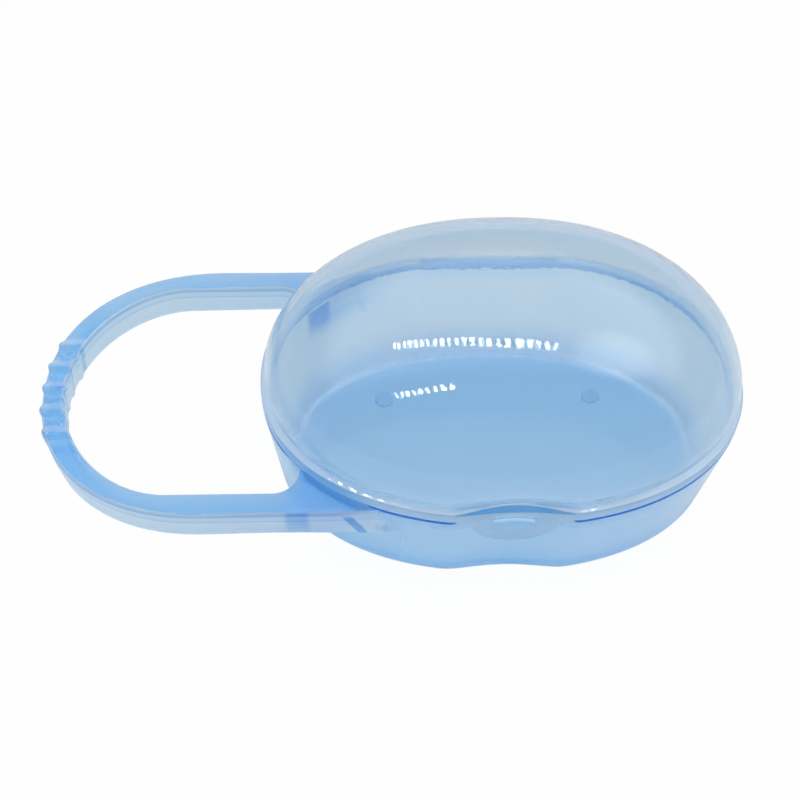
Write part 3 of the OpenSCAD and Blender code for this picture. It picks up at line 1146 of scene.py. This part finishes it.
def make_catch():
    low = catch_top_z - catch_h
    xs = [mix(-catch_w / 2, catch_w / 2, i / catch_steps) for i in range(catch_steps + 1)]
    outline = [(x, 0) for x in xs] + [(x, 1) for x in xs[::-1]]

    def on_wall(x, root, level):
        z, out = ((low, catch_d), (low + catch_h * 0.4, catch_d), (catch_top_z, 0.1))[level]
        return Vector((x, scoop_d * scoop(x) - oval_y(x) + (bite if root else -out), z))

    lower = piece("catch", prism(outline, on_wall, 0, 1), tray_plastic)
    upper = piece("catch_slope", prism(outline, on_wall, 1, 2), tray_plastic)
    add_boolean(lower, upper, "UNION")
    settle(lower, [upper])
    return lower


def make_pad(x, y):
    """A pad that stands on the floor and reaches half way down into it."""
    bm = rod(pad_r, floor_t / 2 + pad_h)
    soften(bm, [e for e in sharper_than(bm, 60) if e.verts[0].co.z > 0], pad_edge, 3)
    bmesh.ops.translate(bm, verts=bm.verts, vec=Vector((x, y, floor_t * 0.75 + pad_h / 2)) * MM)
    return piece("pad", bm, tray_plastic)


pads = [make_pad(x, y) for x in (-pad_x, pad_x) for y in (-pad_y, pad_y)]
parts = [handle, make_catch()] + ears + pads
for part in parts:
    add_boolean(tray, part, "UNION")
settle(tray, parts)
add_boolean(lid, knuckle, "UNION")
settle(lid, [knuckle])

# %% [markdown]
# ## The thumb tongue
#
# The tongue fills the scoop in front of the lid and hangs over the seam. Its root is a lens:
# straight in front and curved behind, where it follows the scooped wall. The hanging part leans
# out a little, so a finger finds its edge. The plate is cut to its rounded front outline with a
# Boolean, and a second one cuts the window for the catch.

# %% Thumb tongue
tongue_w = 18.5
tongue_drop = 6.4
tongue_sink = 1.6
tongue_lean = math.radians(5)
tip_steps = 24
lens_w = scoop_w - 3
root_gap = 0.1
plate_gap = 0.3
window_gap = 0.3
window_h = 3.4
window_top_z = catch_top_z + 1.2


def lens_line(width, share, gap, steps=48):
    out = []
    for i in range(steps + 1):
        x = mix(-width / 2, width / 2, i / steps)
        deep = (scoop_d - tongue_sink) * scoop(x)
        out.append((x, scoop_d * scoop(x) - oval_y(x) - mix(min(gap, deep / 2), deep, share)))
    return out


def lens_outline(width, gap):
    return lens_line(width, 0, gap) + lens_line(width, 1, 0)[::-1]


def leaning(x, y, z):
    """A point of the hanging part: turned outwards about the front edge of the seam."""
    back, down = y - seam_y, z - tray_h
    return Vector((x, seam_y + back * math.cos(tongue_lean) + down * math.sin(tongue_lean),
                   tray_h - back * math.sin(tongue_lean) + down * math.cos(tongue_lean)))


def front_outline():
    """The tongue seen from the front: upright sides and a round lower end."""
    tip_r = ((tongue_w / 2) ** 2 + tongue_drop ** 2) / (2 * tongue_drop)
    tip_turn = math.atan2(tongue_w / 2, tip_r - tongue_drop)
    turns = [tip_turn * i / tip_steps for i in range(tip_steps, -tip_steps - 1, -1)]
    tip = [(tip_r * math.sin(t), tray_h - tongue_drop + tip_r * (1 - math.cos(t))) for t in turns]
    return [(tongue_w / 2, ledge_z)] + tip + [(-tongue_w / 2, ledge_z)]


def window_outline():
    half = catch_w / 2 + window_gap
    low = window_top_z - window_h
    return [(-half, low), (half, low), (half, window_top_z), (-half, window_top_z)]


def make_tongue():
    lens = prism(lens_outline(lens_w, root_gap), along_z, tray_h, ledge_z)
    root = piece("tongue_root", lens, latch_plastic)
    hanging = prism(lens_outline(tongue_w, plate_gap), leaning, tray_h - 2 * tongue_drop, tray_h)
    plate = piece("latch_tongue_plate", hanging, latch_plastic)
    cutter = piece("front", prism(front_outline(), along_y, -2 * half_w, 0), latch_plastic)
    add_boolean(plate, cutter, "INTERSECT")
    settle(plate, [cutter])
    hole = prism(window_outline(), along_y, -half_w - 10, -half_w + 10)
    window = piece("window", hole, latch_plastic)
    add_boolean(plate, root, "UNION")
    add_boolean(plate, window, "DIFFERENCE")
    settle(plate, [root, window])
    return plate


tongue = make_tongue()

# %% [markdown]
# ## The hinge pin
#
# The pin is pushed in last, when both shells lie together. It is a plain rod on the hinge's
# axis, and its ends are rounded a little, so that it finds its way through the bores.

# %% Hinge pin
pin_edge = 0.2


def make_pin():
    bm = rod(pin_d / 2, hinge_l, hinge_axis)
    soften(bm, sharper_than(bm, 60), pin_edge, 3)
    return piece("pin", bm, pin_plastic)


pin = make_pin()

# %% [markdown]
# ## What rides on what
#
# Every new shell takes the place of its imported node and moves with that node's body.

# %% Bodies
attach(lid, "lid")
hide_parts("lid")
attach(tray, "tray")
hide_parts("tray")
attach(tongue, "latch")
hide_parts("latch_tongue")
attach(pin, "tray")
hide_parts("hinge_pin")
